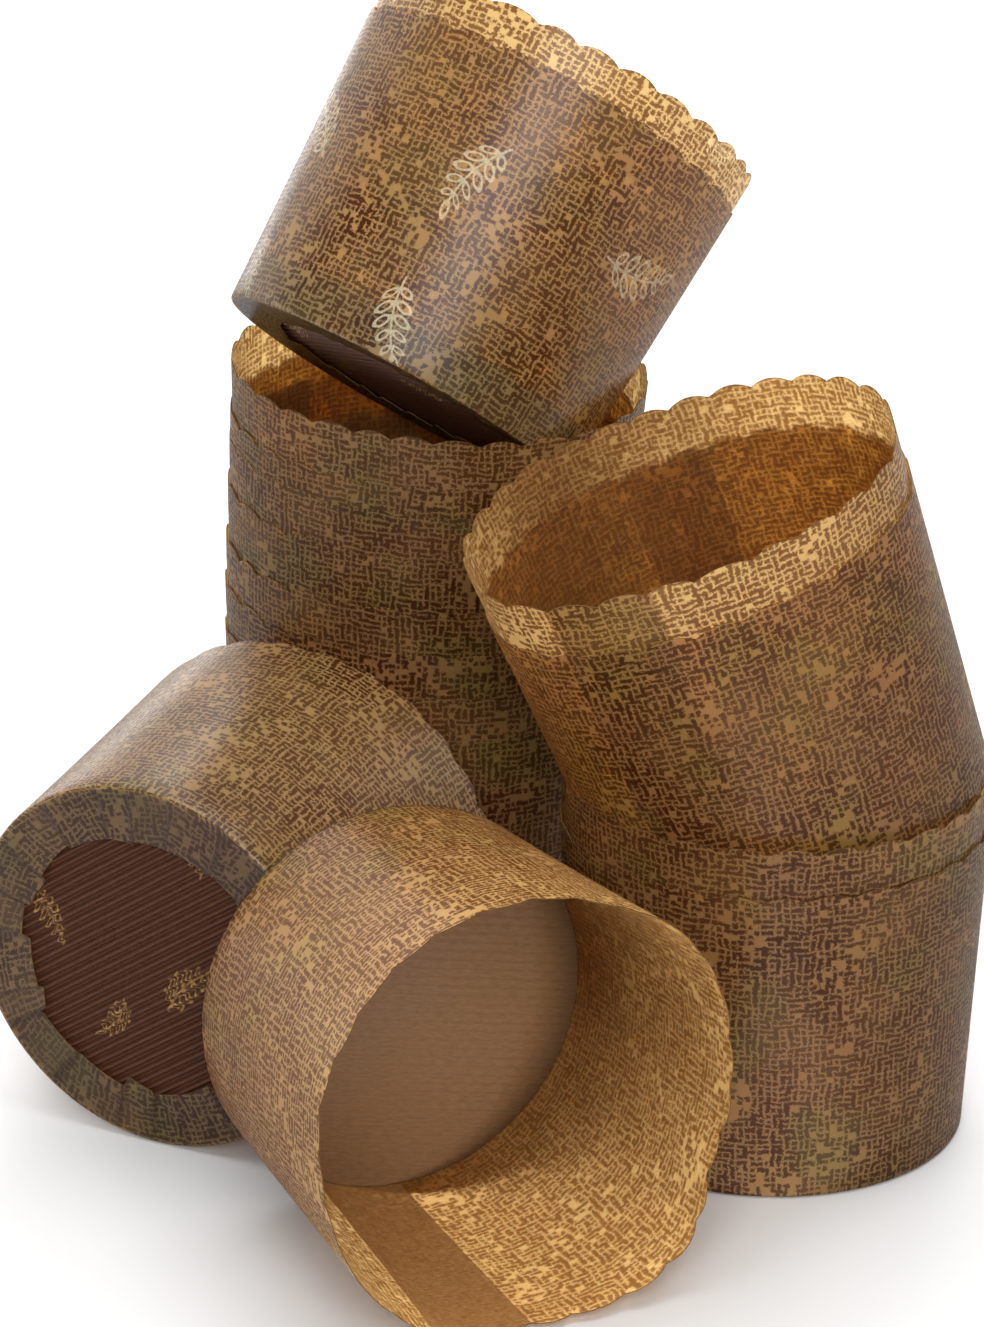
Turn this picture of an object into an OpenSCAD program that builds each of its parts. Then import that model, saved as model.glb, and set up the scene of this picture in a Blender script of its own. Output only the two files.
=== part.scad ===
/* [Liner] */
// Outside diameter over the tips of the scalloped rim
rim_d = 70; // [64:0.5:78]
// Height from the foot to the tips of the rim
liner_h = 54; // [46:0.5:62]
// Lean of the wall away from upright, in degrees
taper = 3; // [2.6:0.1:4]
// Thickness of the paper
paper_t = 0.15; // [0.1:0.01:0.18]
// Number of scallops round the rim
scallops = 28; // [22:1:34]
// Depth of the scallops
scallop_depth = 1.3; // [0.8:0.1:2]

/* [Lap seam] */
// Width of the glued lap of the wall
lap_w = 17; // [10:1:24]
// Thickness that the lap adds inside the wall
lap_t = 0.06; // [0.03:0.01:0.08]

/* [Hem] */
// Width of the paper margin folded in under the foot
hem_w = 9; // [6:0.5:13]
// Height of the fold between wall and hem
fold_r = 0.5; // [0.2:0.1:0.9]
// Number of pleats gathered in the hem
pleats = 30; // [20:1:40]
// Step of the torn edge from one pleat to the next
pleat_step = 0.7; // [0.2:0.1:1.2]

/* [Corrugated foot board] */
// Thickness of the flat facing sheet
facing_t = 0.35; // [0.2:0.05:0.6]
// Height of the flutes under the facing sheet
flute_h = 0.9; // [0.5:0.1:1.4]
// Distance from one flute to the next
flute_pitch = 1.5; // [1.2:0.1:2.4]
// Play of the board all round inside the wall
board_play = 0.15; // [0.1:0.05:0.4]
// Play between the board and the hem under it
board_lift = 0.05; // [0.02:0.01:0.2]

/* [Nesting] */
// Play all round between a liner and the one nested in it
nest_play = 0.05; // [0.03:0.01:0.1]
// Height gained by each liner of the left stack, from the bottom
left_steps = [8, 8, 8, 10, 8, 5, 9];
// Height gained by the second liner of the right foot nest
right_low_step = 8; // [6:0.5:14]
// Height gained by the second liner of the right top nest
right_top_step = 9; // [6:0.5:16]
// Height gained by the second liner of the tilted nest
tilted_step = 6.5; // [6:0.5:14]

/* [Pile] */
// Gap left where one liner rests against another
touch = 0.3; // [0.2:0.05:0.5]
// Lean of the lowest liner of the left stack, in degrees
left_lean = 2.1; // [0:0.1:4]
// Share of the play that each liner above it uses up by leaning further
left_lean_share = 0.8; // [0:0.05:0.9]
// Heading of that lean, in degrees from +X
left_heading = -53; // [-90:1:0]
// Place of the left stack to the left of the right one, in rim diameters
left_side = 0.85; // [0.8:0.01:1.1]
// Lean of the right top nest, in degrees
right_top_lean = 19.5; // [12:0.5:24]
// Heading of that lean, in degrees from +X
right_top_heading = 196; // [180:1:220]
// Slide of its foot back from the middle of the mouth that it stands in
right_top_slide = 4.1; // [2:0.1:6]
// Lean of the tilted nest on the left stack, in degrees
tilted_lean = 38; // [34:0.5:44]
// Heading of that lean, in degrees from +X
tilted_heading = 40; // [30:1:55]
// Slide of its foot back from the middle of the mouth that it stands in
tilted_slide = 10.5; // [8:0.5:14]
// Heading that its foot slides back from, in degrees from +X
tilted_slide_heading = 46; // [40:1:55]
// Heading of the mouth of the liner lying at the back, in degrees from +X
back_heading = 65; // [50:1:75]
// Depth of that liner in front of the right stack, in rim diameters
back_depth = 0.24; // [0:0.01:0.5]
// Heading of the mouth of the liner lying in front, in degrees from +X
front_heading = -65; // [-80:1:-50]
// Depth of that liner in front of the right stack, in rim diameters
front_depth = 0.37; // [0.2:0.01:0.6]
// Turn of its foot board against its seam, in degrees
front_board_turn = 14.5; // [0:0.5:180]

/* [Hidden] */
$fn = 96;

rim_r = rim_d / 2;
slope = tan(taper);
foot_r = rim_r - liner_h * slope;
hem_r = foot_r - hem_w;
board_r = foot_r - paper_t - lap_t - board_play;
board_t = facing_t + flute_h;
lap_angle = lap_w / rim_r * 180 / PI;
// Points taken round a liner's edges when it is set against its neighbours
edge_points = 36;
// Turn of each liner of the left stack against the one below it, which spreads the seams round
seam_turn = 37;

// A pose is the centre of the foot, the lean, its heading, and the turn about the liner's own axis
function axis_of(pose) = [
  sin(pose[1]) * cos(pose[2]),
  sin(pose[1]) * sin(pose[2]),
  cos(pose[1])
];
function moved(pose, by) = [pose[0] + by, pose[1], pose[2], pose[3]];
function radius_at(z) = foot_r + slope * z;

// Points round a liner at height z
function ring(pose, z, r) =
  let(side = [-sin(pose[2]), cos(pose[2]), 0], front = cross(side, axis_of(pose)))
  [for (i = [0:edge_points - 1]) let(t = 360 * i / edge_points)
    pose[0] + z * axis_of(pose) + r * (cos(t) * front + sin(t) * side)];

// Distance of a point from a liner's outer form taken as solid, negative inside it
function clear_of(point, pose) =
  let(d = point - pose[0], z = d * axis_of(pose), r = norm(d - z * axis_of(pose)))
  max((r - radius_at(z)) * cos(taper), z - liner_h, -z);

// Nearest points of two axes, as heights along them
function within(z) = max(0, min(liner_h, z));
function nearest(p, q) =
  let(a = axis_of(p), b = axis_of(q), w = p[0] - q[0], ab = a * b, k = 1 - ab * ab)
  let(s = k < 0.01 ? liner_h / 2 : within((ab * (b * w) - a * w) / k), t = within(b * w + s * ab))
  [within(ab * t - a * w), t];

// Gap between two liners that stand or lie beside each other: from their axes while they are
// far apart, and otherwise from their walls and the edges of foot and rim
function apart(p, q) =
  let(z = nearest(p, q), between = norm(p[0] + z[0] * axis_of(p) - q[0] - z[1] * axis_of(q)))
  between > 2 * rim_r + touch ? between - 2 * rim_r : min(
    min(z) > 0 && max(z) < liner_h ? between - radius_at(z[0]) - radius_at(z[1]) : liner_h,
    min([for (e = concat(ring(p, 0, foot_r), ring(p, liner_h, rim_r))) clear_of(e, q)]),
    min([for (e = concat(ring(q, 0, foot_r), ring(q, liner_h, rim_r))) clear_of(e, p)])
  );
function apart_all(ps, qs) = min([for (p = ps, q = qs) apart(p, q)]);

// Room of a foot that stands in another liner's mouth
function in_mouth(p, host) = min(
  min([for (e = ring(host, liner_h, rim_r - paper_t)) clear_of(e, p)]),
  min([for (e = ring(p, 0, foot_r))
    let(d = e - host[0], z = d * axis_of(host), r = norm(d - z * axis_of(host)))
    z > liner_h ? liner_h : radius_at(z) - paper_t - lap_t - r])
);

// Travel at which a shrinking gap comes down to the touch gap
function travel(gap_at, near, far, n = 14) =
  n == 0 ? near :
  let(mid = (near + far) / 2)
  gap_at(mid) > touch ? travel(gap_at, mid, far, n - 1) : travel(gap_at, near, mid, n - 1);

// Step of a nested liner: what is asked for, and never less than the paper needs
function step_of(wanted) = max(wanted, (paper_t + lap_t + nest_play) / slope);

// The liner nested in another: straight, or leaning on by a share of its play
function nested(pose, wanted, share, turn) =
  let(
    step = step_of(wanted),
    overlap = liner_h - step,
    play = slope * step - paper_t - lap_t,
    lean = pose[1] + share * atan(2 * play / overlap),
    pivot = pose[0] + (step + overlap / 2) * axis_of(pose),
    next = [pivot, lean, pose[2], turn]
  )
  [pivot - overlap / 2 * axis_of(next), lean, pose[2], turn];

// Right stack: the foot nest stands on its hem, and the top nest leans in its mouth
right_foot_1 = [[0, 0, 0], 0, 0, 20];
right_foot_2 = nested(right_foot_1, right_low_step, 0, 150);
right_top_from = [
  [-right_top_slide * cos(right_top_heading), -right_top_slide * sin(right_top_heading), 2 * liner_h],
  right_top_lean, right_top_heading, 250
];
right_top_1 = moved(right_top_from,
  [0, 0, -travel(function (t) in_mouth(moved(right_top_from, [0, 0, -t]), right_foot_2), 0, 1.5 * liner_h)]);
right_top_2 = nested(right_top_1, right_top_step, 0, 38);
right_stack = [right_foot_1, right_foot_2, right_top_1, right_top_2];

// A liner lying on its side, on the line from its foot to its rim
function lying(x, y, heading, turn) = [[x, y, foot_r * cos(taper)], 90 - taper, heading, turn];

// Front liner, pushed to the right up to the right stack
front_from = lying(-2 * rim_d, -front_depth * rim_d, front_heading, 333);
front = moved(front_from,
  [travel(function (t) apart_all([moved(front_from, [t, 0, 0])], right_stack), 0, 2 * rim_d), 0, 0]);

// Back liner, pushed to the right up to the front liner
back_from = lying(-3 * rim_d, -back_depth * rim_d, back_heading, 146);
back = moved(back_from,
  [travel(function (t) apart(moved(back_from, [t, 0, 0]), front), 0, 3 * rim_d), 0, 0]);

// Left stack, each liner leaning a little further, pushed forward up to the back liner
function left_from(y) = [[-left_side * rim_d, y, foot_r * sin(left_lean)], left_lean, left_heading, 10];
function stack_up(pose, i = 0) =
  i == len(left_steps) ? [pose] :
  concat([pose], stack_up(nested(pose, left_steps[i], left_lean_share, seam_turn * (i + 1)), i + 1));
left_stack = stack_up(left_from(3 * rim_d - travel(
  function (t) apart_all(stack_up(left_from(3 * rim_d - t)), concat([back], right_stack)), 0, 3 * rim_d)));
left_top = left_stack[len(left_stack) - 1];

// Tilted nest, let down into the mouth of the left stack
mouth = left_top[0] + liner_h * axis_of(left_top);
tilted_from = [
  mouth + [-tilted_slide * cos(tilted_slide_heading), -tilted_slide * sin(tilted_slide_heading), liner_h],
  tilted_lean, tilted_heading, 336
];
tilted_1 = moved(tilted_from,
  [0, 0, -travel(function (t) in_mouth(moved(tilted_from, [0, 0, -t]), left_top), 0, 1.5 * liner_h)]);
tilted_2 = nested(tilted_1, tilted_step, 0, 60);

// The pile is centred over the origin
pile = concat(left_stack, [tilted_1, tilted_2], right_stack, [back, front]);
function reach_of(pose, side, i) =
  let(a = axis_of(pose)[i], across = sqrt(1 - a * a))
  side * max(side * pose[0][i] + foot_r * across, side * (pose[0][i] + liner_h * a) + rim_r * across);
pile_middle = [for (i = [0:1])
  (max([for (p = pile) reach_of(p, 1, i)]) + min([for (p = pile) reach_of(p, -1, i)])) / 2];

module at(pose) {
  translate(pose[0] - [pile_middle[0], pile_middle[1], 0])
    rotate([0, pose[1], pose[2]])
      rotate([0, 0, pose[3]])
        children();
}

// Radius of the lobes, from their width and depth
lobe_w = 2 * rim_r * sin(180 / scallops);
lobe_r = (lobe_w * lobe_w / 4 + scallop_depth * scallop_depth) / (2 * scallop_depth);
// Flat left on the tip of each lobe, where the paper was sheared
tip_share = 0.16;
tip_w = tip_share * lobe_w;
tip_drop = lobe_r - sqrt(lobe_r * lobe_r - tip_w * tip_w / 4);

// How far the cut of a notch reaches in from the rim, well past the paper
notch_reach = 10 * paper_t;

// The notch between two lobes, cut in from outside
module scallop_notch() {
  cut_w = lobe_w - tip_w / 2;
  depth = notch_reach;
  translate([rim_r - depth, 0, 0])
    rotate([90, 0, 90])
      linear_extrude(height = depth + 1)
        difference() {
          translate([-cut_w / 2, liner_h - scallop_depth - tip_drop])
            square([cut_w, scallop_depth + 1]);
          for (side = [-1, 1])
            translate([side * lobe_w / 2, liner_h - lobe_r])
              circle(r = lobe_r);
        }
}

// Wall and hem are one strip of paper, folded at the foot
module folded_strip() {
  inner = paper_t / cos(taper);
  top = liner_h - tip_drop;
  rotate_extrude()
    polygon([
      [hem_r - pleat_step, 0],
      [foot_r - fold_r, 0],
      [radius_at(fold_r), fold_r],
      [radius_at(top), top],
      [radius_at(top) - inner, top],
      [radius_at(fold_r) - inner, fold_r],
      [foot_r - fold_r, paper_t],
      [hem_r - pleat_step, paper_t]
    ]);
}

// Share of a pleat over which its torn edge runs, before it steps to the next
pleat_share = 0.94;
// How unevenly the steps come out, and the turn that scatters them
unevenness = 0.5;
scatter = 137;

// The torn inner edge of the hem steps in and out from pleat to pleat
module torn_edge() {
  translate([0, 0, -1])
    linear_extrude(height = paper_t + 2)
      polygon([for (i = [0:pleats - 1], side = [0, 1])
        let(
          t = 360 * (i + pleat_share * side) / pleats,
          step = pleat_step * (1 + unevenness * sin(scatter * i))
        )
        (hem_r + step * (side - 0.5)) * [cos(t), sin(t)]]);
}

// The second layer of paper at the glued lap
module lap() {
  inner = paper_t / cos(taper);
  low = 2 * fold_r;
  top = liner_h - tip_drop;
  rotate_extrude(angle = lap_angle)
    polygon([
      [radius_at(low) - inner / 2, low],
      [radius_at(top) - inner / 2, top],
      [radius_at(top) - inner - lap_t, top],
      [radius_at(low) - inner - lap_t, low]
    ]);
}

module cup(pose) {
  color("#9c7a55")
    at(pose)
      difference() {
        union() {
          folded_strip();
          lap();
        }
        torn_edge();
        for (i = [0:scallops - 1])
          rotate([0, 0, 360 * i / scallops])
            scallop_notch();
      }
}

// The board's section: a flat facing sheet over rounded flutes
module board(pose, turn = 0) {
  flutes = ceil(board_r / flute_pitch);
  color("#4b2d22")
    at([pose[0], pose[1], pose[2], pose[3] + turn])
      translate([0, 0, paper_t + board_lift])
        intersection() {
          cylinder(r = board_r, h = board_t);
          rotate([90, 0, 0])
            linear_extrude(height = 2 * board_r + 2, center = true)
              polygon(concat(
                [for (i = [-flutes:flutes], k = [0:5])
                  [(i + k / 6) * flute_pitch, flute_h * (0.5 - 0.5 * cos(60 * k))]],
                [[(flutes + 1) * flute_pitch, 0], [(flutes + 1) * flute_pitch, board_t + 1],
                 [-flutes * flute_pitch, board_t + 1]]
              ));
        }
}

cup(left_stack[0]);  // left_cup_1
cup(left_stack[1]);  // left_cup_2
cup(left_stack[2]);  // left_cup_3
cup(left_stack[3]);  // left_cup_4
cup(left_stack[4]);  // left_cup_5
cup(left_stack[5]);  // left_cup_6
cup(left_stack[6]);  // left_cup_7
cup(left_stack[7]);  // left_cup_8
board(left_stack[0]);  // left_board_1
board(left_stack[1]);  // left_board_2
board(left_stack[2]);  // left_board_3
board(left_stack[3]);  // left_board_4
board(left_stack[4]);  // left_board_5
board(left_stack[5]);  // left_board_6
board(left_stack[6]);  // left_board_7
board(left_stack[7]);  // left_board_8
cup(tilted_1);  // tilted_cup_1
cup(tilted_2);  // tilted_cup_2
board(tilted_1);  // tilted_board_1
board(tilted_2);  // tilted_board_2
cup(right_foot_1);  // right_foot_cup_1
cup(right_foot_2);  // right_foot_cup_2
board(right_foot_1);  // right_foot_board_1
board(right_foot_2);  // right_foot_board_2
cup(right_top_1);  // right_top_cup_1
cup(right_top_2);  // right_top_cup_2
board(right_top_1);  // right_top_board_1
board(right_top_2);  // right_top_board_2
cup(back);  // back_cup
board(back);  // back_board
cup(front);  // front_cup
board(front, front_board_turn);  // front_board
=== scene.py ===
"""Looks of a pile of corrugated-foot paper cupcake liners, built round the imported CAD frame."""

import math

import bpy
import numpy as np
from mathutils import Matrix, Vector


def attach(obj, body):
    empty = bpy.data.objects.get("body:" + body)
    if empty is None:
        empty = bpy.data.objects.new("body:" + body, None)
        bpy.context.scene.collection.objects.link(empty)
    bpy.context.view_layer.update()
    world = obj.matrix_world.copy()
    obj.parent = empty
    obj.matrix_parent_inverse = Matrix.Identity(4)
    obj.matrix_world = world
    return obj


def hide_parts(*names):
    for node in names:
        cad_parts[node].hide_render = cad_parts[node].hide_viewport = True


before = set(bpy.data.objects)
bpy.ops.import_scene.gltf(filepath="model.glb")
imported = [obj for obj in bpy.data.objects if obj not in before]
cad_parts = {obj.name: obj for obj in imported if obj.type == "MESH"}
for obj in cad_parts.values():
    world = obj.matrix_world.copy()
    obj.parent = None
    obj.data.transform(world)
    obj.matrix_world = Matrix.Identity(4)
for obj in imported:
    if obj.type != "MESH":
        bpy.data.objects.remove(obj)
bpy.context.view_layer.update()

MM = 0.001

# Sizes of one liner, in millimetres and degrees, as in the CAD source
RIM_R = 35.0
LINER_H = 54.0
TAPER = 3
SLOPE = math.tan(math.radians(TAPER))
FOOT_R = RIM_R - LINER_H * SLOPE
PAPER_T = 0.15
LAP_W = 17
LAP_T = 0.06
LAP_ANGLE = math.degrees(LAP_W / RIM_R)
SCALLOPS = 28
SCALLOP_DEPTH = 1.3
HEM_W = 9.0
BOARD_R = FOOT_R - 0.36
BOARD_LOW = 0.2
BOARD_TOP = 1.45
FLUTE_H = 0.9
FLUTE_PITCH = 1.5

# Shapes that the CAD source leaves out or draws more plainly: the fold at the foot and the hem's pleats
FOLD_R = 0.6
FOLD_STEPS = (30, 60)
PLEATS = 22
PLEAT_RISE = 0.45
PLEAT_CREST = 0.9
HEM_TORN = (-1.0, 0.7)
HEM_SLANT = 1.4
HEM_ROWS = (0, 0.35, 0.7, 1)
HEM_SKEW = 0.2
HEM_SKIN = 0.001
# The wall under the rim and the rim's lobes
TUCK = 0.24
TUCK_H = 12.0
RIM_BEVEL = 0.05
RIM_SHELF = 0.6
RIM_CLEAR = 3
NOTCH_SHIFT = 0.11
LOBE_UNEVEN = 0.35
RIM_WORN = 0.12
LOBE_POINTS = 12
# The board, lifted by the pleats under it
BOARD_RISE = 0.45
FACING_DIP = 0.02
FLUTE_POINTS = 6
FLUTE_POINTS_SEEN = 12
BOARD_POINTS = 9
# How the paper's waves grow with height
WARP_TOP = 1.3
WARP_CURVE = 1.5

# Where the print and the boards' pattern lie from one liner to the next, in millimetres
PRINT_SHIFT = (47.3, 61.7)
BOARD_SHIFT = 71.0
FIRST_SEED = 100

# The woven print: the pitch of its threads, in millimetres
THREADS = (1.12, 0.99, 1.0)

# The smoothed step that tells hem from wall, on the second part of the fold map
HEM_STEP = (-0.3, 0.15)

# Share of the light that goes through: the wall, its inside, and the inside where two layers lie
WALL_THROUGH = 0.62
INSIDE_THROUGH = 0.78
LAP_THROUGH = 0.3

# Where the pile's middle lies in the numbers below
MIDDLE = (-47.5892, 7.77227)

# Name, board, centre of the foot, lean, heading and turn in degrees, height in its nest, nest, wall rows
LINERS = [
    ("left_cup_1", "left_board_1", (-59.5, 62.1643, 1.17883), 2.1, -53, 10, 0, "left", 6),
    ("left_cup_2", "left_board_2", (-59.4242, 62.0638, 9.1802), 2.51703, -53, 37, 8, "left", 4),
    ("left_cup_3", "left_board_3", (-59.3134, 61.9167, 17.1804), 2.93405, -53, 74, 16, "left", 4),
    ("left_cup_4", "left_board_4", (-59.1676, 61.7232, 25.1791), 3.35108, -53, 111, 24, "left", 4),
    ("left_cup_5", "left_board_5", (-58.9667, 61.4566, 35.1781), 4.00541, -53, 148, 34, "left", 4),
    ("left_cup_6", "left_board_6", (-58.7309, 61.1436, 43.1709), 4.42244, -53, 185, 42, "left", 4),
    ("left_cup_7", "left_board_7", (-58.5238, 60.8689, 48.1593), 4.5198, -53, 222, 47, "left", 4),
    ("left_cup_8", "left_board_8", (-58.2225, 60.4691, 57.1487), 5.05284, -53, 259, 56, "left", 6),
    ("tilted_cup_1", "tilted_board_1", (-62.6542, 49.1177, 108.46), 38, 40, 336, 0, "tilted", 12),
    ("tilted_cup_2", "tilted_board_2", (-59.5887, 51.69, 113.582), 38, 40, 60, 6.5, "tilted", 10),
    ("right_foot_cup_1", "right_foot_board_1", (0, 0, 0), 0, 0, 20, 0, "right_foot", 14),
    ("right_foot_cup_2", "right_foot_board_2", (0, 0, 8), 0, 0, 150, 8, "right_foot", 8),
    ("right_top_cup_1", "right_top_board_1", (3.94117, 1.13011, 52.6783), 19.5, 196, 250, 0, "right_top", 12),
    ("right_top_cup_2", "right_top_board_2", (1.05329, 0.302026, 61.1621), 19.5, 196, 38, 9, "right_top", 12),
    ("back_cup", "back_board", (-101.014, -16.8, 32.1259), 87, 65, 146, 0, "back", 12),
    ("front_cup", "front_board", (-61.25, -25.9, 32.1259), 87, -65, 333, 0, "front", 16),
]
# Rims that lie close to the next liner's wall, and boards that show their flutes or their facing
TUCKED_CUPS = ["left_cup_%d" % i for i in range(1, 8)]
SEEN_BOARDS = ("back_board", "tilted_board_1", "front_board", "left_board_1", "right_foot_board_1")
# Turn of a board against its liner's seam, where it has one
BOARD_TURN = {"front_board": 14.5}

# How each nest's paper is out of true: waves are (count round, millimetres at the rim, phase in degrees),
# dents are (angle, height, width in degrees, width in millimetres, depth in millimetres)
WARPS = {
    "left": {
        "waves": [(1, 0.9, 146), (2, 0.5, 23), (3, 0.35, 8), (7, 0.1, 20), (11, 0.06, 13)],
        "dents": [],
    },
    "tilted": {
        "waves": [(1, 0.9, -120), (2, 0.7, 3), (3, 0.5, -8), (7, 0.16, -10), (11, 0.08, 21)],
        "dents": [],
    },
    "right_foot": {
        "waves": [(3, 0.15, 10), (7, 0.1, 5)],
        "dents": [],
    },
    "right_top": {
        "waves": [(1, 2.1, 64), (2, 0.9, -4), (4, 0.5, 34), (7, 0.14, 33), (11, 0.08, 12)],
        "dents": [],
    },
    "back": {
        "waves": [(1, 0.8, -166), (2, 0.7, -76), (3, 0.15, 23), (7, 0.14, 9), (11, 0.07, 30)],
        "dents": [],
    },
    "front": {
        "waves": [
            (1, 0.6, 103), (2, 0.4, 12), (3, 0.3, 48), (4, 0.85, 45), (5, 0.5, -27), (9, 0.12, 15), (13, 0.06, 3),
        ],
        "dents": [(63, 54, 13, 16, 2.4)],
    },
}

# Lights: place and target in metres, size in metres, watts
LIGHTS = {
    "top_light": ((0, -0.1, 1.0), (0, 0, 0), (0.9, 0.9), 9.4),
    "high_light": ((0.1, 0.8, 0.62), (0.03, 0, 0.12), (0.5, 0.4), 3.0),
    "camera_light": ((0.02, -0.86, 0.51), (0, 0, 0.1), (0.5, 0.4), 6.8),
    "back_light": ((0.35, 0.75, 0.28), (0, 0, 0.08), (1.2, 0.4), 2.5),
    "left_light": ((-0.32, 0.85, 0.09), (-0.05, 0, 0.05), (0.5, 0.14), 1.25),
    "side_light": ((-0.9, 0.3, 0.2), (0, 0, 0.07), (0.5, 0.4), 2.0),
    "floor_bounce": ((0.025, -0.085, 0.0), (0.025, -0.085, 1.0), (0.1, 0.09), 0.032),
}
WORLD_STRENGTH = 2.0

# The floor in metres: half its width, how far it goes back, and how far it lies under the pile
FLOOR_SIDE, FLOOR_BACK, FLOOR_DROP = 3.0, 5.0, 0.0002

# The camera's focal length and the picture's height in the photograph's pixels
FOCAL_PX, PICTURE_PX = 4630, 1327
SENSOR_MM = 24
CAMERA_AT = (16.76, -698.78, 351.33)
CAMERA_TILT, CAMERA_PAN = 68.485, 1.238


def srgb(r, g, b):
    """A colour from 0-255 values to the linear values that shaders take."""
    return tuple(
        (c / 255 / 12.92) if c / 255 <= 0.04045 else ((c / 255 + 0.055) / 1.055) ** 2.4
        for c in (r, g, b)
    ) + (1.0,)


class Graph:
    """Writes the nodes of a material or a world as plain expressions."""

    def __init__(self, owner):
        self.owner = owner
        owner.use_nodes = True
        self.nodes = owner.node_tree.nodes
        self.links = owner.node_tree.links
        self.nodes.clear()

    def put(self, socket, value):
        if isinstance(value, bpy.types.NodeSocket):
            self.links.new(value, socket)
        else:
            socket.default_value = value

    def node(self, kind, inputs=(), out=0, **settings):
        n = self.nodes.new(kind)
        for key, value in settings.items():
            setattr(n, key, value)
        for key, value in dict(inputs).items():
            self.put(n.inputs[key], value)
        return n.outputs[out]

    def math(self, operation, a, b=0.0):
        return self.node("ShaderNodeMath", {0: a, 1: b}, operation=operation)

    def add(self, a, b):
        return self.math("ADD", a, b)

    def minus(self, a, b):
        return self.math("SUBTRACT", a, b)

    def times(self, a, b):
        return self.math("MULTIPLY", a, b)

    def ratio(self, a, b):
        return self.math("DIVIDE", a, b)

    def vector(self, operation, a, b):
        return self.node("ShaderNodeVectorMath", {0: a, 1: b}, operation=operation)

    def moved(self, v, x, y):
        return self.vector("ADD", v, (x, y, 0.0))

    def stretched(self, v, x, y):
        return self.vector("MULTIPLY", v, (x, y, 1.0))

    def scaled(self, v, factor):
        return self.node("ShaderNodeVectorMath", {0: v, "Scale": factor}, operation="SCALE")

    def cell(self, v):
        return self.vector("FLOOR", v, (0.0, 0.0, 0.0))

    def from_middle(self, v):
        """Place in a cell of a grid, from the cell's middle."""
        return self.parts(self.vector("SUBTRACT", self.vector("FRACTION", v, (0.0, 0.0, 0.0)), (0.5, 0.5, 0.0)))

    def parts(self, v):
        n = self.nodes.new("ShaderNodeSeparateXYZ")
        self.links.new(v, n.inputs[0])
        return n.outputs

    def joined(self, x, y):
        return self.node("ShaderNodeCombineXYZ", {0: x, 1: y})

    def noise(self, v, scale, detail=2.0, rough=0.5, out=0):
        return self.node(
            "ShaderNodeTexNoise",
            {"Vector": v, "Scale": scale, "Detail": detail, "Roughness": rough},
            out,
            noise_dimensions="2D",
        )

    def step(self, v, low, high, to_low=0.0, to_high=1.0):
        return self.node(
            "ShaderNodeMapRange",
            {"Value": v, "From Min": low, "From Max": high, "To Min": to_low, "To Max": to_high},
            interpolation_type="SMOOTHSTEP",
        )

    def mix(self, factor, a, b):
        n = self.nodes.new("ShaderNodeMix")
        n.data_type = "RGBA"
        for socket, value in ((n.inputs[0], factor), (n.inputs[6], a), (n.inputs[7], b)):
            self.put(socket, value)
        return n.outputs[2]

    def chance(self, cell):
        """Three random values for a cell of a grid."""
        return self.parts(self.node("ShaderNodeTexWhiteNoise", {"Vector": cell}, 1, noise_dimensions="2D"))

    def bump(self, strength, distance, height):
        return self.node("ShaderNodeBump", {"Strength": strength, "Distance": distance, "Height": height})

    def skin(self, inputs):
        """The light that a surface throws back."""
        return self.node("ShaderNodeBsdfPrincipled", inputs)

    def lit_paper(self, skin, through, bump, share):
        """A surface that also lets a share of the light through."""
        glow = self.node("ShaderNodeBsdfTranslucent", {"Color": through, "Normal": bump})
        return self.finish(self.node("ShaderNodeMixShader", {0: share, 1: skin, 2: glow}))

    def finish(self, surface, kind="ShaderNodeOutputMaterial"):
        out = self.nodes.new(kind)
        self.links.new(surface, out.inputs["Surface"])
        return self.owner


def new_material(name):
    return Graph(bpy.data.materials.new(name))


def paper_map(g):
    """Place on the paper strip or on the board in millimetres: x along the strip, y up from the foot."""
    return g.node("ShaderNodeUVMap", uv_map="strip")


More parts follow.
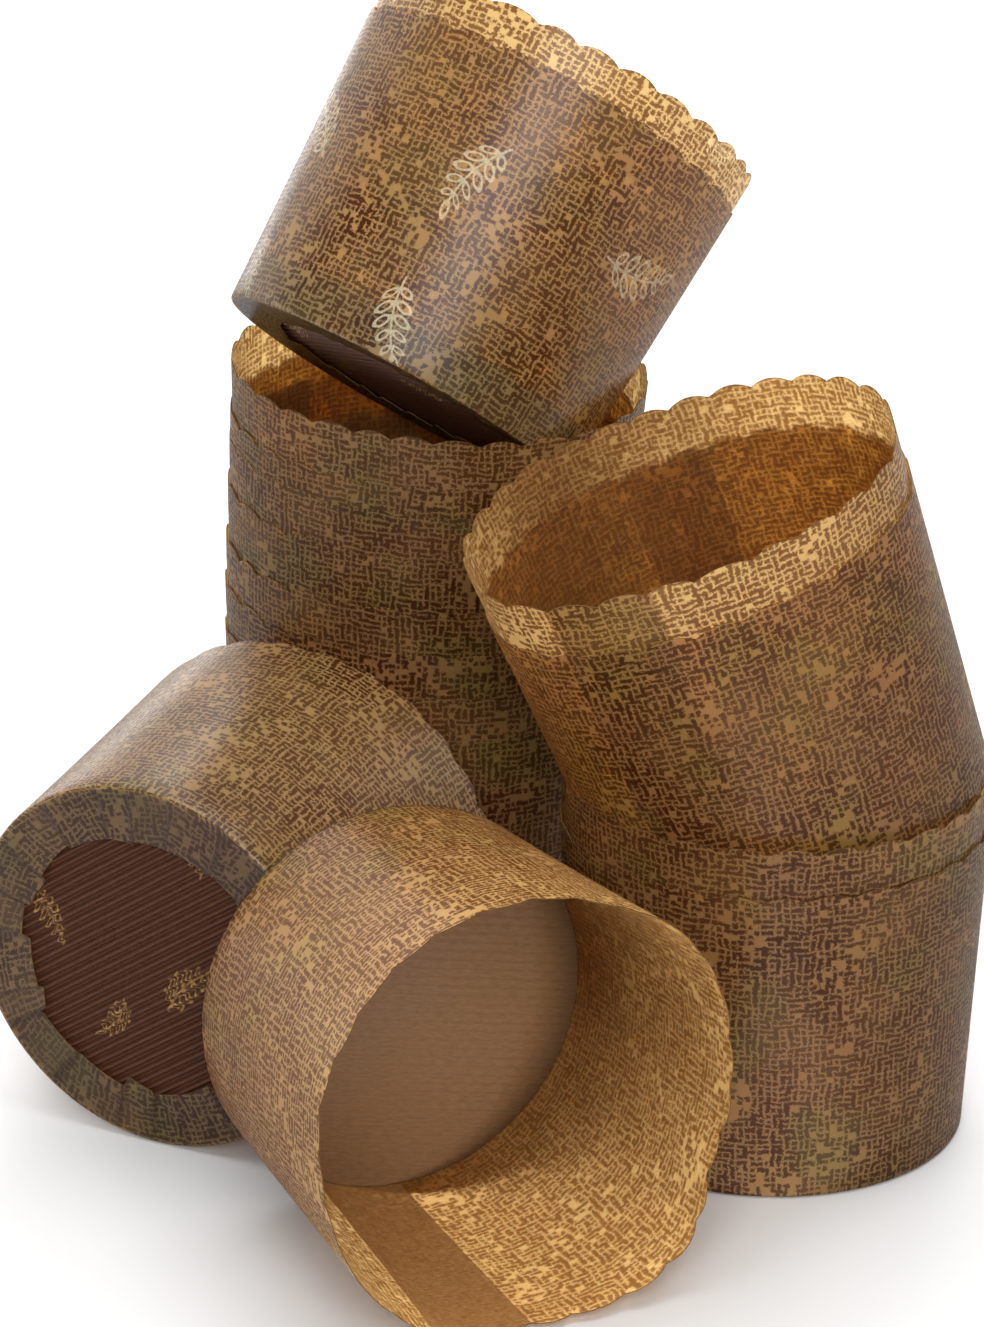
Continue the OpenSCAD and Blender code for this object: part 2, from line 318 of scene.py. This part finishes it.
def sprig(g, place, cell_w, cell_h, size):
    """Line sprigs with paired leaves that get smaller to both ends, one to a cell, each turned its own way."""
    pair, stem_bend, leaf_lean, leaf_out = 1.9, 0.9, math.radians(36), 1.4
    p = g.vector("DIVIDE", place, (cell_w, cell_h, 1.0))
    chance = g.chance(g.cell(p))
    q = g.from_middle(p)
    turn = g.times(chance[0], 6.2832)
    cos, sin = g.math("COSINE", turn), g.math("SINE", turn)
    scale = g.times(g.add(g.times(chance[1], 0.5), 0.7), size)
    x = g.ratio(g.times(q[0], cell_w), scale)
    y = g.ratio(g.times(q[1], cell_h), scale)
    side = g.minus(g.times(x, cos), g.times(y, sin))
    along = g.add(g.times(x, sin), g.times(y, cos))
    # The stem is bent a little to one side
    across = g.math("ABSOLUTE", g.add(side, g.times(g.math("POWER", g.ratio(along, 5.0), 2.0), stem_bend)))
    count = g.math("FLOOR", g.add(g.ratio(along, pair), 0.5))
    small = g.minus(1.05, g.times(g.math("ABSOLUTE", g.add(count, 0.5)), 0.17))
    up = g.ratio(g.minus(along, g.times(count, pair)), small)
    out = g.minus(g.ratio(across, small), leaf_out)
    lean_c, lean_s = math.cos(leaf_lean), math.sin(leaf_lean)
    a = g.add(g.times(out, lean_c), g.times(up, lean_s))
    b = g.minus(g.times(up, lean_c), g.times(out, lean_s))
    squared = lambda v, by: g.math("POWER", g.ratio(v, by), 2.0)
    ring = lambda a, b, long, wide: g.math("SQRT", g.add(squared(a, long), squared(b, wide)))
    line = lambda d, wide: g.step(g.math("ABSOLUTE", g.minus(d, 1.0)), wide, 0.6 * wide)
    leaf = g.times(line(ring(a, b, 1.25, 0.55), 0.34), g.math("LESS_THAN", g.math("ABSOLUTE", count), 2.5))
    bud = line(ring(g.minus(along, 2.95 * pair), across, 0.95, 0.5), 0.36)
    on_stem = g.math("LESS_THAN", g.math("ABSOLUTE", g.add(along, 0.5)), 2.95 * pair)
    stem = g.times(g.step(across, 0.2, 0.11), on_stem)
    shown = g.math("GREATER_THAN", chance[2], 0.3)
    return g.times(g.math("MAXIMUM", g.math("MAXIMUM", leaf, bud), stem), shown)


def weave_ink(g, place):
    """A printed weave, from 0 to 1: a dot in each cell, run together here and there with its neighbours."""
    # The threads wander slowly and shake a little, in millimetres
    drift = g.vector("SUBTRACT", g.noise(place, 0.28, 1.0, out=1), (0.5, 0.5, 0.5))
    shake = g.vector("SUBTRACT", g.noise(place, 2.0, 0.0, out=1), (0.5, 0.5, 0.5))
    moved = g.vector("ADD", g.scaled(drift, 1.1), g.scaled(shake, 0.34))
    p = g.vector("DIVIDE", g.vector("ADD", place, moved), THREADS)
    own = g.chance(g.cell(p))
    # One random value for each two cells that touch; the large numbers keep the three grids apart
    right = g.chance(g.moved(g.cell(g.vector("SUBTRACT", p, (0.5, 0.0, 0.0))), 311.0, 0.0))
    above = g.chance(g.moved(g.cell(g.vector("SUBTRACT", p, (0.0, 0.5, 0.0))), 0.0, 517.0))
    f = g.from_middle(p)
    fx, fy = g.math("ABSOLUTE", f[0]), g.math("ABSOLUTE", f[1])
    # Some parts have more dashes along the strip, others more up it; half is half a dash's width
    lying = g.step(g.noise(place, 0.13, 1.0), 0.35, 0.65, 0.14, 0.4)
    half = g.add(0.22, g.times(own[1], 0.12))
    dot = g.minus(g.math("MAXIMUM", fx, fy), g.add(half, 0.04))
    bar_x = g.add(g.minus(fy, half), g.math("GREATER_THAN", right[0], lying))
    bar_y = g.add(g.minus(fx, half), g.math("GREATER_THAN", above[0], g.minus(0.54, lying)))
    d = g.math("MINIMUM", dot, g.math("MINIMUM", bar_x, bar_y))
    # Some cells have no ink, in some parts more of them, and the ink's edges are ragged
    bare = g.step(g.noise(g.moved(place, 5.0, 31.0), 0.07, 1.0), 0.52, 0.8, 0.02, 0.35)
    d = g.add(d, g.math("LESS_THAN", own[0], bare))
    ragged = g.times(g.minus(g.noise(place, 3.1, 1.0, 0.6), 0.5), 0.5)
    return g.step(g.add(d, ragged), 0.16, -0.11)


def printed_paper(name, gilt, gloss, glaze, painted_sheen):
    """Greaseproof kraft paper with a woven print outside, lit through where only one or two layers stand.
    Gilt is the strength of the sprigs, gloss and glaze are the skin's shine and its coat's, and painted_sheen
    is how far the ground between the ink goes to a paler, greyer tone off the hem: a painted sheen for the glossier
    nests."""
    g = new_material(name)
    place = paper_map(g)
    fold = g.parts(g.node("ShaderNodeUVMap", uv_map="fold"))
    ink = weave_ink(g, place)
    # Wide patches where the ink is weaker, and where the paper is greener or pinker
    cloud = g.noise(place, 0.06, 1.0, 0.6)
    green = g.step(g.noise(g.moved(place, 71.0, 13.0), 0.055, 1.0), 0.48, 0.66)
    pink = g.step(g.noise(g.moved(place, 17.0, 91.0), 0.05, 1.0), 0.5, 0.68)
    specks = g.step(g.noise(place, 1.3, 2.0, 0.75), 0.35, 0.8, 0.0, 0.44)
    ground = g.mix(green, srgb(174, 136, 84), srgb(158, 136, 76))
    ground = g.mix(g.times(pink, 0.6), ground, srgb(170, 124, 84))
    ground = g.mix(specks, ground, srgb(110, 72, 38))
    # Painted sheen: off the hem the ground goes towards a pale grey-tan, standing in for the sheen that the
    # glossier nests catch
    if painted_sheen:
        ground = g.mix(g.step(fold[1], *HEM_STEP, painted_sheen, 0.0), ground, srgb(184, 167, 118))
    dark = g.mix(green, srgb(68, 34, 14), srgb(64, 44, 18))
    dark = g.mix(g.times(pink, 0.4), dark, srgb(78, 40, 22))
    strength = g.step(cloud, 0.3, 0.72, 1.0, 0.7)
    colour = g.mix(g.times(ink, strength), ground, dark)
    if gilt:
        lines = g.times(sprig(g, place, 36.0, 27.0, 1.25), gilt)
        colour = g.mix(lines, colour, srgb(244, 232, 190))
    # Painted shade on the hem: each flap is darkened by its own random amount, standing in for how its tilt takes
    # the light, and painted shadow darkens the flaps' edges where they overlap
    share = g.math("FRACT", fold[0])
    flap = g.chance(g.joined(g.math("FLOOR", fold[0]), 3.0))
    hem = g.step(fold[1], *HEM_STEP)
    # Painted shadow along both edges of each flap
    edge = g.math("MAXIMUM", g.step(share, 0.84, 0.99), g.step(share, 0.07, 0.0))
    # Painted shade for each flap's tilt, plus a little more where the paper has painted sheen, so the hem stays
    # darker
    tone = g.add(g.times(flap[0], 0.24), 0.02 + 0.15 * painted_sheen)
    shade = g.times(hem, g.add(g.times(edge, 0.5), tone))
    colour = g.mix(shade, colour, srgb(70, 38, 12))
    fibre = g.noise(g.stretched(place, 1.6, 0.9), 2.2, 1.0, 0.65)
    bump = g.bump(0.14, 0.00007, fibre)
    skin = g.skin({
        "Base Color": colour,
        "Roughness": g.step(fibre, 0.25, 0.8, 0.3, 0.42),
        "Specular IOR Level": gloss,
        "Coat Weight": glaze,
        "Coat Roughness": 0.36,
        "Normal": bump,
    })
    through = g.mix(g.times(ink, 0.88), srgb(255, 238, 202), srgb(156, 112, 66))
    through = g.mix(g.times(hem, 0.8), through, srgb(60, 30, 12))
    return g.lit_paper(skin, through, bump, WALL_THROUGH)


def plain_paper(name, lapped):
    """The unprinted inside of the paper: smoother, and more golden where light comes through the print."""
    g = new_material(name)
    place = paper_map(g)
    fibre = g.noise(g.stretched(place, 0.55, 2.2), 1.3, 1.0, 0.7)
    strand = g.step(fibre, 0.3, 0.72)
    cloud = g.noise(place, 0.08, 1.0, 0.5)
    colour = g.mix(strand, srgb(150, 102, 56), srgb(178, 132, 80))
    colour = g.mix(g.times(cloud, 0.3), colour, srgb(150, 108, 64))
    through = g.mix(strand, srgb(252, 222, 164), srgb(255, 236, 190))
    if lapped:
        through = g.mix(0.6, through, srgb(130, 72, 24))
    else:
        ink = weave_ink(g, place)
        colour = g.mix(g.times(ink, 0.2), colour, srgb(120, 72, 34))
        through = g.mix(g.times(ink, 0.4), through, srgb(170, 110, 56))
    bump = g.bump(0.15, 0.0001, fibre)
    skin = g.skin({"Base Color": colour, "Roughness": 0.5, "Specular IOR Level": 0.45, "Normal": bump})
    return g.lit_paper(skin, through, bump, LAP_THROUGH if lapped else INSIDE_THROUGH)


def cut_edge(name):
    """Sheared paper: dull, and darkened by painted shade to a brown well below its faces, so that no rim flashes
    against the light where the nested rims lie in shade.
    """
    g = new_material(name)
    fibre = g.noise(paper_map(g), 3.0, 3.0, 0.6)
    # Painted shade: the edge's colour is kept dark so the rims between nested liners stay dark
    colour = g.mix(fibre, srgb(78, 52, 28), srgb(128, 94, 56))
    return g.finish(g.skin({"Base Color": colour, "Roughness": 0.9, "Specular IOR Level": 0.0}))


def fluted_board(name):
    """Chocolate-brown corrugated underside with a dim gilt print."""
    g = new_material(name)
    place = paper_map(g)
    grain = g.noise(g.stretched(place, 2.2, 0.5), 1.2, 4.0, 0.65)
    colour = g.mix(grain, srgb(58, 30, 18), srgb(94, 56, 36))
    worn = g.step(g.noise(place, 1.6, 3.0), 0.35, 0.6, 0.25, 0.75)
    lines = g.times(sprig(g, g.moved(place, 9.0, 4.0), 21.0, 16.0, 0.95), worn)
    colour = g.mix(lines, colour, srgb(176, 140, 84))
    bump = g.bump(0.25, 0.0001, grain)
    return g.finish(g.skin({"Base Color": colour, "Roughness": 0.66, "Specular IOR Level": 0.25, "Normal": bump}))


def facing_board(name):
    """The board's flat inner face, on which the flutes under it show as faint ridges in its bump, with painted
    shade along them.
    """
    g = new_material(name)
    place = paper_map(g)
    x = g.times(g.parts(place)[0], 2 * math.pi / FLUTE_PITCH)
    line = g.times(g.add(g.math("SINE", x), 1.0), 0.5)
    grain = g.noise(g.stretched(place, 1.6, 0.35), 1.6, 5.0, 0.7)
    colour = g.mix(grain, srgb(104, 74, 50), srgb(154, 122, 86))
    # Painted shade: darker stripes at the flutes' pitch stand in for the shade of the faint ridges that the flutes
    # press into the facing
    colour = g.mix(g.times(g.step(line, 0.62, 1.0), 0.16), colour, srgb(88, 58, 38))
    bump = g.bump(0.2, 0.0001, g.add(grain, g.times(line, 0.25)))
    return g.finish(g.skin({"Base Color": colour, "Roughness": 0.45, "Specular IOR Level": 0.5, "Normal": bump}))


def radius_at(z):
    return FOOT_R + SLOPE * z


def rotation(lean, heading, turn):
    """The liner's axis leans from upright by lean towards heading, after the liner is turned about it."""
    a, b, c = (math.radians(v) for v in (lean, heading, turn))
    ry = np.array([[math.cos(a), 0, math.sin(a)], [0, 1, 0], [-math.sin(a), 0, math.cos(a)]])
    rz = lambda t: np.array([[math.cos(t), -math.sin(t), 0], [math.sin(t), math.cos(t), 0], [0, 0, 1]])
    return rz(b) @ ry @ rz(c)


def warp(nest, angle, height):
    """How far the nest's paper stands out of true, in millimetres, at an angle in degrees and a height."""
    out = np.zeros(np.broadcast(angle, height).shape)
    rise = np.clip(height / LINER_H, 0, WARP_TOP) ** WARP_CURVE
    for count, size, phase in WARPS[nest]["waves"]:
        out = out + size * rise * np.cos(np.radians(count * (angle - phase)))
    for at, high, wide, tall, depth in WARPS[nest]["dents"]:
        away = (angle - at + 180) % 360 - 180
        out = out - depth * np.exp(-((away / wide) ** 2) - ((height - high) / tall) ** 2)
    return out


def rim_height(angle, rng):
    """Height of the scalloped edge: a lobe between each two notches, no two quite alike."""
    lobe_w = 2 * RIM_R * math.sin(math.pi / SCALLOPS)
    lobe_r = (lobe_w**2 / 4 + SCALLOP_DEPTH**2) / (2 * SCALLOP_DEPTH)
    notch = (np.arange(SCALLOPS) + rng.uniform(-NOTCH_SHIFT, NOTCH_SHIFT, SCALLOPS)) * 360 / SCALLOPS
    lobe = np.searchsorted(notch, angle, side="right") - 1
    start = notch[lobe] - np.where(lobe < 0, 360, 0)
    end = np.append(notch, notch[0] + 360)[np.where(lobe < 0, 0, lobe + 1)]
    from_tip = ((angle - start) / (end - start) - 0.5) * lobe_w
    drop = lobe_r - np.sqrt(lobe_r**2 - from_tip**2)
    uneven = 1 - LOBE_UNEVEN * rng.random(SCALLOPS)
    worn = RIM_WORN * (1 + np.cos(np.radians(3 * angle + rng.uniform(0, 360))))
    return LINER_H - np.minimum(drop * uneven[lobe] + worn, SCALLOP_DEPTH)


def mesh_object(name, verts, faces, maps, slots, materials, flat=()):
    """A mesh from arrays: verts in metres, faces as lists of corners, and UV maps with one place for each corner.
    The faces whose numbers are in flat keep their edges."""
    mesh = bpy.data.meshes.new(name)
    mesh.from_pydata(verts.tolist(), [], faces)
    for material in materials:
        mesh.materials.append(material)
    mesh.polygons.foreach_set("material_index", slots)
    for title, places in maps.items():
        layer = mesh.uv_layers.new(name=title)
        layer.data.foreach_set("uv", np.asarray(places, np.float32).ravel())
    smooth = np.ones(len(faces), bool)
    smooth[list(flat)] = False
    mesh.polygons.foreach_set("use_smooth", smooth)
    mesh.validate()
    mesh.update()
    obj = bpy.data.objects.new(name, mesh)
    bpy.context.scene.collection.objects.link(obj)
    return obj


def placed(points, foot, lean, heading, turn):
    """Points of a liner, in its own millimetres, moved to its place in the pile, in metres."""
    at = np.array([foot[0] - MIDDLE[0], foot[1] - MIDDLE[1], foot[2]])
    return (points @ rotation(lean, heading, turn).T + at) * MM


def pleats_of(angle, rng):
    """The hem's flaps round the foot: number, first angle and share of the way across, for each angle."""
    ends = np.cumsum(rng.uniform(0.5, 1.5, PLEATS))
    ends = ends / ends[-1] * 360
    flap = np.minimum(np.searchsorted(ends, angle, side="right"), PLEATS - 1)
    start = np.append(0, ends)[flap]
    return flap, start, (angle - start) / (ends[flap] - start)


# Slots of a cup's mesh
OUTER, INNER, CUT, LAP = range(4)


def cup_profile(angle, rows, rng, flap, share):
    """Radius, height and strip position of each row round the paper's section, from the hem's torn edge
    up the outside to the rim and down the inside, and the slot of the faces that follow each row."""
    n = len(angle)
    torn = rng.uniform(*HEM_TORN, PLEATS)[flap] + rng.uniform(-HEM_SLANT, HEM_SLANT, PLEATS)[flap] * (share - 0.5)
    hem_in = FOOT_R - HEM_W + torn
    hem_out = FOOT_R - FOLD_R
    rise = PLEAT_RISE * np.where(share > PLEAT_CREST, (1 - share) / (1 - PLEAT_CREST), share / PLEAT_CREST)
    top = rim_height(angle, rng)
    r, z, v, slot = [], [], [], []

    def row(radius, height, strip, face):
        r.append(np.broadcast_to(radius, n))
        z.append(np.broadcast_to(height, n))
        v.append(np.broadcast_to(strip, n))
        slot.append(face)

    for s in HEM_ROWS:
        radius = hem_in + (hem_out - hem_in) * s
        row(radius, rise * (1 - s**3), radius - FOOT_R, OUTER)
    for t in FOLD_STEPS:
        a = math.radians(t)
        row(hem_out + FOLD_R * math.sin(a), FOLD_R * (1 - math.cos(a)), FOLD_R * (t / FOLD_STEPS[0] - 1), OUTER)
    shelf = LINER_H - SCALLOP_DEPTH - RIM_SHELF
    heights = [FOLD_R + (shelf - RIM_CLEAR - FOLD_R) * j / rows for j in range(rows + 1)] + [shelf]
    for h in heights:
        row(radius_at(h), h, h, OUTER)
    # A row just under the rim on each side keeps the wall's shading true up to the cut edge
    under = top - RIM_BEVEL
    row(radius_at(under), under, under, OUTER)
    row(radius_at(top), top, top, CUT)
    t_wall = PAPER_T / math.cos(math.radians(TAPER)) + LAP_T * (angle < LAP_ANGLE)
    row(radius_at(top) - t_wall, top, top, INNER)
    row(radius_at(under) - t_wall, under, under, INNER)
    for h in reversed(heights):
        row(radius_at(h) - t_wall, h, h, INNER)
    row(hem_out, PAPER_T, -FOLD_R, INNER)
    for s in reversed(HEM_ROWS):
        radius = hem_in + (hem_out - hem_in) * s
        row(radius - HEM_SKIN, rise * (1 - s**3) + PAPER_T, radius - FOOT_R, INNER)
    slot[-1] = CUT
    return np.array(r), np.array(z), np.array(v), slot


def build_cup(index, name, foot, lean, heading, turn, high, nest, rows, materials):
    """One liner's paper: a lapped wall with a scalloped rim, folded in under the foot as a pleated hem."""
    rng = np.random.default_rng(FIRST_SEED + index)
    n = SCALLOPS * LOBE_POINTS
    angle = np.arange(n) * 360 / n
    flap, start, share = pleats_of(angle, rng)
    r, z, v, slot = cup_profile(angle, rows, rng, flap, share)
    if name in TUCKED_CUPS:
        r = r - TUCK * np.clip((z - LINER_H + TUCK_H) / TUCK_H, 0, 1) ** 2
    r = r + warp(nest, (angle + turn)[None, :], z + high) * np.clip(r / FOOT_R, 0, 1)
    a = np.radians(angle)
    points = np.stack([r * np.cos(a), r * np.sin(a), z], axis=-1)
    verts = placed(points.reshape(-1, 3), foot, lean, heading, turn)
    step = math.radians(360 / n)
    skew = rng.uniform(-HEM_SKEW, HEM_SKEW, PLEATS)[flap]
    k = len(slot)
    lap_columns = int(LAP_ANGLE / 360 * n)
    hem_rows = len(HEM_ROWS)
    strip_r = RIM_R - 1
    flap_angle = math.radians(18)
    faces, strip, fold, slots = [], [], [], []
    for j in range(k):
        nxt = (j + 1) % k
        for i in range(n):
            i2 = (i + 1) % n
            faces.append((j * n + i, j * n + i2, nxt * n + i2, nxt * n + i))
            slots.append(LAP if slot[j] == INNER and i < lap_columns else slot[j])
            for row, column, ahead in ((j, i, 0), (j, i2, 1), (nxt, i2, 1), (nxt, i, 0)):
                u, w = (i + ahead) * step * strip_r, v[row, column]
                if row < hem_rows:
                    # A flap keeps the print's own scale, a little askew
                    first = math.radians(start[i])
                    over = (i + ahead) * step - first
                    u = first * strip_r + over * r[row, column]
                    w += skew[i] * over * r[row, column]
                strip.append((u + PRINT_SHIFT[0] * index, w + PRINT_SHIFT[1] * index))
                across = min(share[i] + ahead * step / flap_angle, 0.999)
                fold.append((flap[i] + across, 1 - HEM_ROWS[row] if row < hem_rows else -1.0))
    flat = [j * n + i for j in range(k) for i in range(n) if slot[j] == CUT or j < hem_rows - 1]
    return mesh_object(name + "_paper", verts, faces, {"strip": strip, "fold": fold}, slots, materials, flat)


def build_board(index, name, foot, lean, heading, turn, high, nest, materials, per):
    """One liner's foot board: a flat facing over rounded flutes, cut to a disc, with per points to a flute."""
    flutes, facing = 0, 1
    count = int(BOARD_R / FLUTE_PITCH * per)
    x = np.arange(-count, count + 1) * FLUTE_PITCH / per
    half = np.sqrt(np.maximum(BOARD_R**2 - x**2, 0))
    wave = FLUTE_H * (0.5 - 0.5 * np.cos(2 * np.pi * x / FLUTE_PITCH))
    low = wave + BOARD_LOW + BOARD_RISE
    top = BOARD_TOP + BOARD_RISE - FACING_DIP * (1 - wave / FLUTE_H)
    m = BOARD_POINTS
    across = np.linspace(-1, 1, m)
    grid = lambda z: np.stack([
        np.repeat(x, m), (half[:, None] * across[None, :]).ravel(), np.repeat(z, m)], axis=-1)
    points = np.concatenate([grid(low), grid(top)])
    # Where the nest's wall is pressed in, the board's edge goes in with it
    r = np.hypot(points[:, 0], points[:, 1])
    about = np.degrees(np.arctan2(points[:, 1], points[:, 0])) + turn
    push = np.minimum(warp(nest, about, points[:, 2] + high), 0) * (r / BOARD_R) ** 3
    points[:, :2] *= (1 + push / np.maximum(r, 1))[:, None]
    n = len(x)
    base = n * m
    faces, slots = [], []
    for i in range(n - 1):
        for j in range(m - 1):
            a = i * m + j
            faces.append((a, a + 1, a + m + 1, a + m))
            faces.append((base + a, base + a + m, base + a + m + 1, base + a + 1))
            slots += [flutes, facing]
        faces.append((i * m, (i + 1) * m, base + (i + 1) * m, base + i * m))
        faces.append((i * m + m - 1, base + i * m + m - 1, base + (i + 1) * m + m - 1, (i + 1) * m + m - 1))
        slots += [flutes, flutes]
    for i, turned in ((0, False), (n - 1, True)):
        for j in range(m - 1):
            a = i * m + j
            face = (a, base + a, base + a + 1, a + 1)
            faces.append(face[::-1] if turned else face)
            slots.append(flutes)
    uvs = [(points[c, 0] + BOARD_SHIFT * index, points[c, 1]) for face in faces for c in face]
    verts = placed(points, foot, lean, heading, turn)
    return mesh_object(name + "_card", verts, faces, {"strip": uvs}, slots, materials)


def build_floor():
    """A plain pale floor, wide enough to fill the view."""
    g = new_material("floor")
    place = g.node("ShaderNodeTexCoord", out=3)
    tone = g.mix(g.noise(place, 3.0, 2.0), srgb(212, 212, 212), srgb(216, 216, 216))
    material = g.finish(g.skin({"Base Color": tone, "Roughness": 0.9}))
    corners = [
        (-FLOOR_SIDE, -FLOOR_SIDE), (FLOOR_SIDE, -FLOOR_SIDE), (FLOOR_SIDE, FLOOR_BACK), (-FLOOR_SIDE, FLOOR_BACK),
    ]
    mesh = bpy.data.meshes.new("floor")
    mesh.from_pydata([(x, y, -FLOOR_DROP) for x, y in corners], [], [(0, 1, 2, 3)])
    mesh.materials.append(material)
    floor = bpy.data.objects.new("floor", mesh)
    bpy.context.scene.collection.objects.link(floor)


def area_light(name, location, target, size, watts):
    """A soft rectangle of light, turned to its target and not seen by the camera."""
    data = bpy.data.lights.new(name, "AREA")
    data.shape = "RECTANGLE"
    data.size, data.size_y = size
    data.energy = watts
    lamp = bpy.data.objects.new(name, data)
    lamp.location = location
    lamp.rotation_euler = (Vector(target) - Vector(location)).to_track_quat("-Z", "Y").to_euler()
    lamp.visible_camera = False
    bpy.context.scene.collection.objects.link(lamp)


def build_studio():
    """White surroundings behind the pile, none in front of it, and soft lights above, behind and by the camera."""
    world = bpy.data.worlds.new("studio")
    bpy.context.scene.world = world
    g = Graph(world)
    way = g.parts(g.node("ShaderNodeTexCoord"))
    strength = g.step(way[1], 0.0, 0.7, 0.0, WORLD_STRENGTH)
    g.finish(g.node("ShaderNodeBackground", {"Color": (1, 1, 1, 1), "Strength": strength}), "ShaderNodeOutputWorld")
    for name, (location, target, size, watts) in LIGHTS.items():
        area_light(name, location, target, size, watts)
    bpy.context.scene.view_settings.view_transform = "Standard"


def build_camera():
    """The photograph's own viewpoint."""
    data = bpy.data.cameras.new("camera")
    data.sensor_fit = "VERTICAL"
    data.sensor_height = SENSOR_MM
    data.lens = SENSOR_MM * FOCAL_PX / PICTURE_PX
    data.clip_start = 0.01
    camera = bpy.data.objects.new("camera", data)
    camera.location = tuple(c * MM for c in CAMERA_AT)
    camera.rotation_euler = (math.radians(CAMERA_TILT), 0, math.radians(CAMERA_PAN))
    bpy.context.scene.collection.objects.link(camera)
    bpy.context.scene.camera = camera


# The left and right stacks and the front liner share one paper; two nests have a glossier one, whose ground is made
# paler by painted sheen
OUTSIDE = printed_paper("printed_paper", gilt=0.0, gloss=0.4, glaze=0.0, painted_sheen=0.0)
OUTSIDES = {
    "tilted": printed_paper("printed_paper_gilt_painted_sheen", gilt=0.95, gloss=0.6, glaze=0.22, painted_sheen=0.5),
    "back": printed_paper("printed_paper_glazed_painted_sheen", gilt=0.0, gloss=0.85, glaze=0.0, painted_sheen=0.45),
}
INSIDE = plain_paper("paper_inside", lapped=False)
INSIDE_LAP = plain_paper("paper_lap", lapped=True)
EDGE = cut_edge("paper_edge")
FLUTES = fluted_board("board_flutes")
FACING = facing_board("board_facing")

for index, (cup, board, foot, lean, heading, turn, high, nest, rows) in enumerate(LINERS):
    papers = [OUTSIDES.get(nest, OUTSIDE), INSIDE, EDGE, INSIDE_LAP]
    paper = build_cup(index, cup, foot, lean, heading, turn, high, nest, rows, papers)
    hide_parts(cup)
    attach(paper, "root")
    board_turn = turn + BOARD_TURN.get(board, 0)
    per = FLUTE_POINTS_SEEN if board in SEEN_BOARDS else FLUTE_POINTS
    card = build_board(index, board, foot, lean, heading, board_turn, high, nest, [FLUTES, FACING], per)
    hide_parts(board)
    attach(card, "root")

build_floor()
build_studio()
build_camera()
